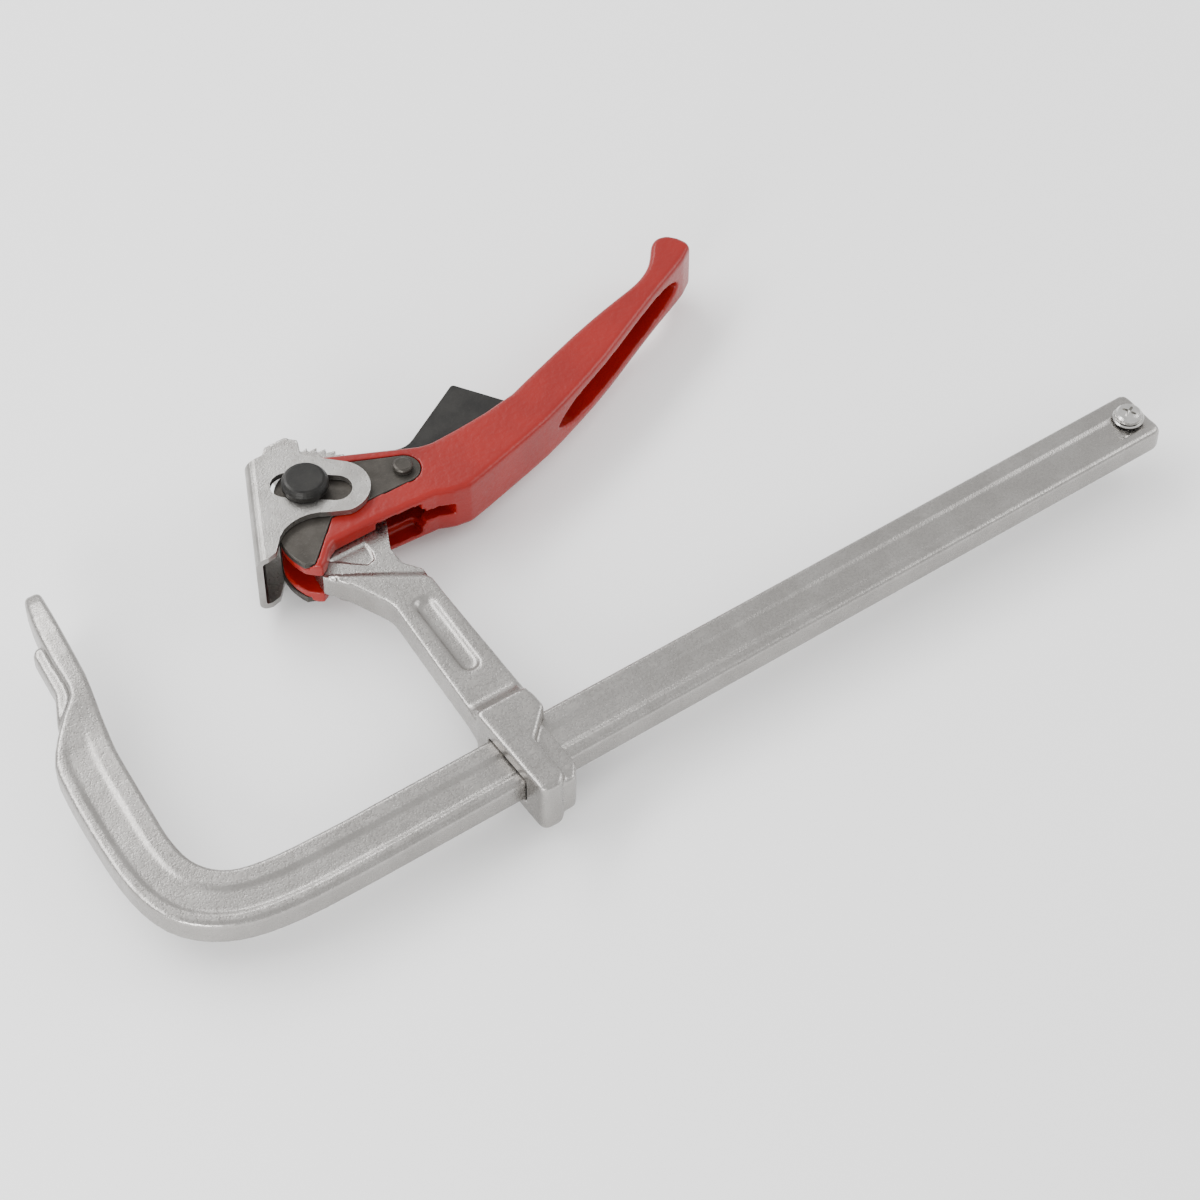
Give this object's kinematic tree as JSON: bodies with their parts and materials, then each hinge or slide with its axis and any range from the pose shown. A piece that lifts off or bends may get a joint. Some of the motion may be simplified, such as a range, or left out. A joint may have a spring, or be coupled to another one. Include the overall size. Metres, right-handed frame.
{
  "type": "lever clamp",
  "caption": "Lever-action F clamp lying on its side: grooved steel rail with a fixed jaw, sliding arm, red ratchet lever, cam plates and a folded pressing jaw",
  "frame": {"origin": "centre of the fixed jaw's clamping face, halfway through the clamp's thickness", "axes": "+X along the rail to its free end, +Y out of the throat, +Z through the thickness, up from the floor the clamp lies on"},
  "size_m": [0.469, 0.2197, 0.041],
  "materials": {
    "zinc_plated_steel": "satin zinc plate over forged steel",
    "bright_steel": "bright steel",
    "bush_bronze": "machined bronze",
    "red_paint": "semi-gloss powder coat",
    "dark_steel": "dark satin steel",
    "black_oxide": "satin black oxide"
  },
  "bodies": {
    "rail": {"rail": "zinc_plated_steel", "stop_screw": "zinc_plated_steel", "stop_washer": "zinc_plated_steel", "stop_nut": "bright_steel"},
    "sliding_arm": {"sliding_arm": "zinc_plated_steel", "pivot_bush": "bush_bronze", "thrust_washer_near": "bright_steel", "thrust_washer_far": "bright_steel"},
    "lever": {"lever": "red_paint", "cam_plate_near": "dark_steel", "cam_plate_far": "dark_steel", "cam_rivet": "dark_steel", "pawl_bush": "bush_bronze", "pawl_spring": "bright_steel", "spring_seat": "bright_steel"},
    "release_pawl": {"release_pawl": "black_oxide"},
    "pivot_pin": {"pivot_pin": "black_oxide", "pin_washer": "bright_steel", "pin_circlip": "bright_steel"},
    "pressure_jaw": {"pressure_jaw": "zinc_plated_steel"}
  },
  "joints": [
    {"name": "arm_slide", "type": "slide", "parent": "rail", "child": "sliding_arm", "axis": [1, 0, 0], "range_m": [-0.06, 0.278]},
    {"name": "lever_swing", "type": "hinge", "parent": "sliding_arm", "child": "lever", "pos_m": [0.1153, 0.0022, 0], "axis": [0, 0, 1], "range_deg": [-30, 18]},
    {"name": "jaw_swivel", "type": "hinge", "parent": "sliding_arm", "child": "pivot_pin", "pos_m": [0.1153, 0.0022, 0], "axis": [0, 0, 1], "range_deg": [-3, 18.6]},
    {"name": "jaw_travel", "type": "slide", "parent": "pivot_pin", "child": "pressure_jaw", "axis": [-0.7771, 0.6293, 0], "range_m": [-0.0074, 0.0124]},
    {"name": "pawl_release", "type": "hinge", "parent": "lever", "child": "release_pawl", "pos_m": [0.1545, -0.0099, 0], "axis": [0, 0, 1], "range_deg": [-10, 0], "stiffness_Nm_per_rad": 0.5, "springref_deg": 20.05}
  ],
  "couplings": [
    {"joint": "jaw_travel", "follows": "lever_swing", "m_per_rad": -0.023}
  ]
}
